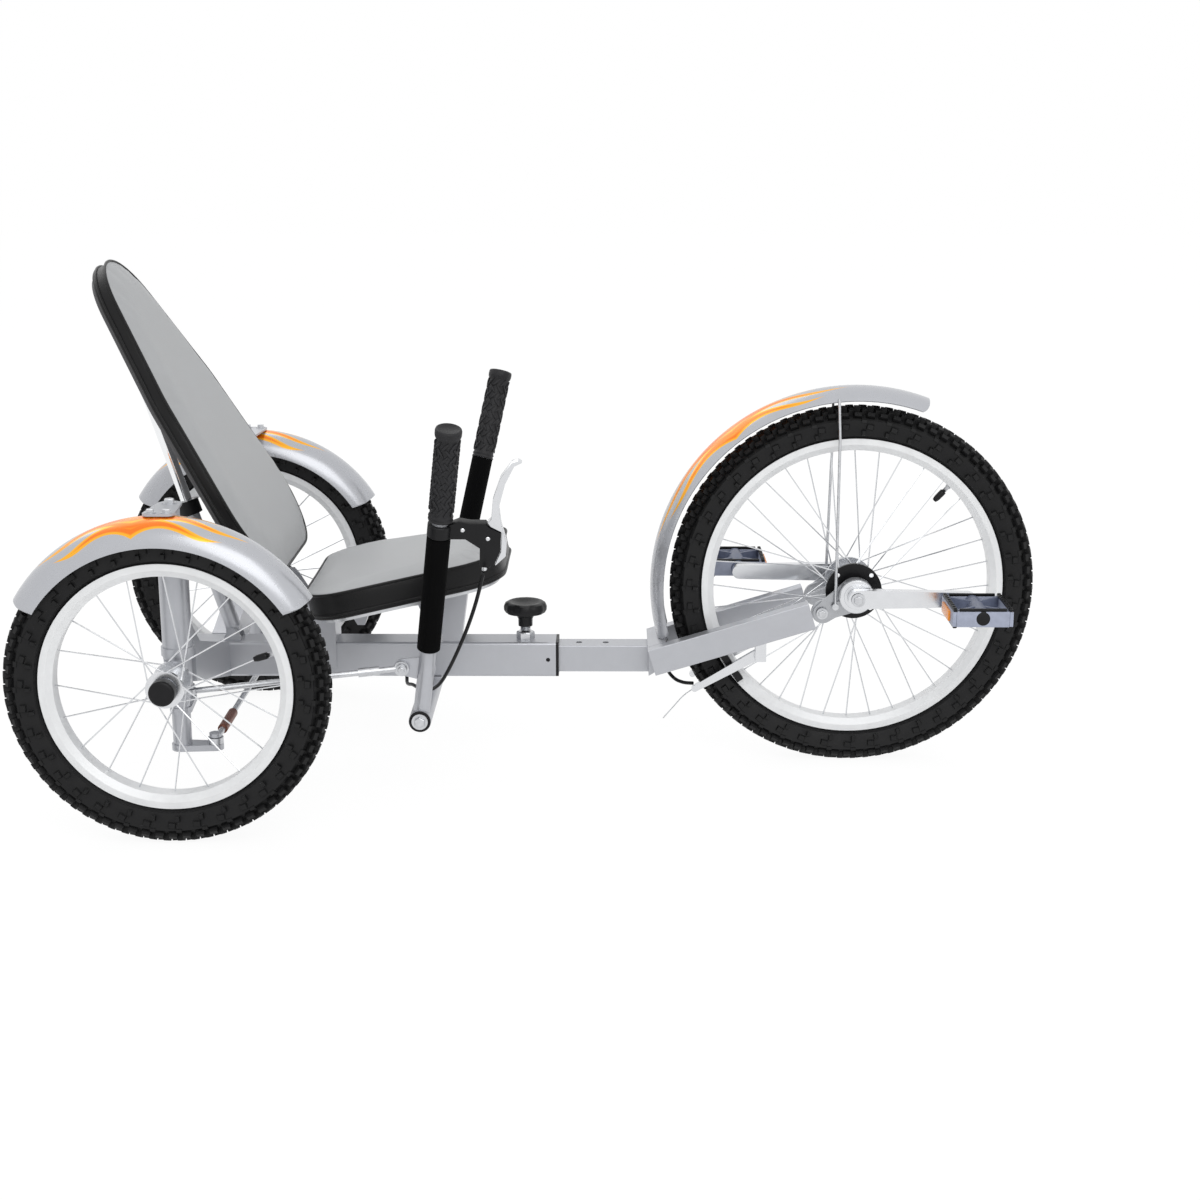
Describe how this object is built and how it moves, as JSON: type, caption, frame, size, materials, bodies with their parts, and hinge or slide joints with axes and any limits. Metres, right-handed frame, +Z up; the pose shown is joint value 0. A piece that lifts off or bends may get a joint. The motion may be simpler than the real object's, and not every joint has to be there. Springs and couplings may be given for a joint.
{
  "type": "recumbent tricycle",
  "caption": "Low recumbent cruiser tricycle with hub-driven front wheel on a sliding boom, lever-steered rear wheels, flame fenders and a tall padded backrest.",
  "frame": {"origin": "on the ground under the middle of the tricycle's length and width", "axes": "+X forward, +Y to the rider's left, +Z up"},
  "size_m": [1.354, 0.736, 0.7092],
  "materials": {
    "silver": "silver powder coat",
    "fender_silver": "silver paint with orange and yellow flames",
    "black_plastic": "black moulded plastic",
    "alloy": "polished alloy",
    "steel": "zinc-plated steel",
    "chrome": "bright chrome",
    "rim": "white-silver rim",
    "tyre": "knobby black rubber",
    "pad_vinyl": "light grey vinyl with black sides and piping",
    "panel": "pale board",
    "foam": "black foam",
    "grip": "dark grey textured grip",
    "pedal": "black pedal plastic with reflectors",
    "cable": "black cable housing",
    "brake": "silver brake parts with black body"
  },
  "bodies": {
    "frame": {"main_beam": "silver", "beam_liner": "black_plastic", "lock_knob": "black_plastic", "lever_crossbar": "silver", "seat_supports": "silver", "seat_pan": "steel", "seat_pad": "pad_vinyl", "back_panel": "panel", "back_pad": "pad_vinyl", "stay_tube": "silver", "stay_collar": "black_plastic", "stay_rod": "chrome", "cross_arm_right": "silver", "cross_arm_left": "silver"},
    "boom": {"inner_beam": "silver", "fork_crown": "silver", "fork_arms": "silver", "axle_carriers": "alloy", "front_fender": "fender_silver", "fender_stays": "steel", "brake_arms": "brake", "brake_shoes": "brake", "front_cable": "cable"},
    "front_wheel": {"front_tyre": "tyre", "front_rim": "rim", "front_hub": "alloy", "drive_disc": "black_plastic"},
    "cranks": {"crank_spindle": "steel", "crank_arms": "alloy"},
    "tie_rod": {"tie_rod": "steel"},
    "pedal_right": {"pedal_right": "pedal"},
    "knuckle_right": {"knuckle_right": "silver", "rear_fender_right": "fender_silver"},
    "rear_wheel_right": {"rear_tyre_right": "tyre", "rear_rim_right": "rim", "rear_hub_right": "alloy"},
    "drag_rod_right": {"drag_rod_right": "steel"},
    "lever_right": {"lever_tube_right": "silver", "lever_foam_right": "foam", "lever_grip_right": "grip", "brake_lever": "brake", "brake_cable": "cable"},
    "pedal_left": {"pedal_left": "pedal"},
    "knuckle_left": {"knuckle_left": "silver", "rear_fender_left": "fender_silver"},
    "rear_wheel_left": {"rear_tyre_left": "tyre", "rear_rim_left": "rim", "rear_hub_left": "alloy"},
    "drag_rod_left": {"drag_rod_left": "steel"},
    "lever_left": {"lever_tube_left": "silver", "lever_foam_left": "foam", "lever_grip_left": "grip"}
  },
  "joints": [
    {"name": "boom_slide", "type": "slide", "parent": "frame", "child": "boom", "axis": [1, 0, 0], "range_m": [-0.114, 0.228]},
    {"name": "front_wheel_spin", "type": "hinge", "parent": "boom", "child": "front_wheel", "pos_m": [0.422, 0, 0.255], "axis": [0, 1, 0], "continuous": true},
    {"name": "crank_spin", "type": "hinge", "parent": "boom", "child": "cranks", "pos_m": [0.422, 0, 0.255], "axis": [0, 1, 0], "continuous": true},
    {"name": "pedal_right_spin", "type": "hinge", "parent": "cranks", "child": "pedal_right", "pos_m": [0.574, -0.143, 0.255], "axis": [0, 1, 0], "continuous": true},
    {"name": "pedal_left_spin", "type": "hinge", "parent": "cranks", "child": "pedal_left", "pos_m": [0.27, 0.143, 0.255], "axis": [0, 1, 0], "continuous": true},
    {"name": "knuckle_right_steer", "type": "hinge", "parent": "frame", "child": "knuckle_right", "pos_m": [-0.472, -0.265, 0.29], "axis": [0, 0, 1], "range_deg": [-25, 25]},
    {"name": "knuckle_left_steer", "type": "hinge", "parent": "frame", "child": "knuckle_left", "pos_m": [-0.472, 0.265, 0.29], "axis": [0, 0, 1], "range_deg": [-25, 25]},
    {"name": "rear_wheel_right_spin", "type": "hinge", "parent": "knuckle_right", "child": "rear_wheel_right", "pos_m": [-0.472, -0.325, 0.205], "axis": [0, 1, 0], "continuous": true},
    {"name": "rear_wheel_left_spin", "type": "hinge", "parent": "knuckle_left", "child": "rear_wheel_left", "pos_m": [-0.472, 0.325, 0.205], "axis": [0, 1, 0], "continuous": true},
    {"name": "lever_right_swing", "type": "hinge", "parent": "frame", "child": "lever_right", "pos_m": [-0.172, -0.17, 0.111], "axis": [0, 1, 0], "range_deg": [-16.67, 16.67], "deforming": ["brake_cable"]},
    {"name": "lever_left_swing", "type": "hinge", "parent": "frame", "child": "lever_left", "pos_m": [-0.172, 0.17, 0.111], "axis": [0, 1, 0], "range_deg": [-16.67, 16.67]},
    {"name": "drag_rod_right_turn", "type": "hinge", "parent": "knuckle_right", "child": "drag_rod_right", "pos_m": [-0.472, -0.215, 0.162], "axis": [0, 0, 1], "range_deg": [-25, 25]},
    {"name": "drag_rod_left_turn", "type": "hinge", "parent": "knuckle_left", "child": "drag_rod_left", "pos_m": [-0.472, 0.215, 0.162], "axis": [0, 0, 1], "range_deg": [-25, 25]},
    {"name": "tie_rod_turn", "type": "hinge", "parent": "knuckle_right", "child": "tie_rod", "pos_m": [-0.429, -0.265, 0.112], "axis": [0, 0, 1], "range_deg": [-25, 25]}
  ],
  "couplings": [
    {"joint": "knuckle_left_steer", "follows": "knuckle_right_steer", "ratio": 1},
    {"joint": "lever_right_swing", "follows": "knuckle_right_steer", "ratio": -0.66667},
    {"joint": "lever_left_swing", "follows": "knuckle_right_steer", "ratio": 0.66667},
    {"joint": "drag_rod_right_turn", "follows": "knuckle_right_steer", "ratio": -1},
    {"joint": "drag_rod_left_turn", "follows": "knuckle_right_steer", "ratio": -1},
    {"joint": "tie_rod_turn", "follows": "knuckle_right_steer", "ratio": -1}
  ]
}
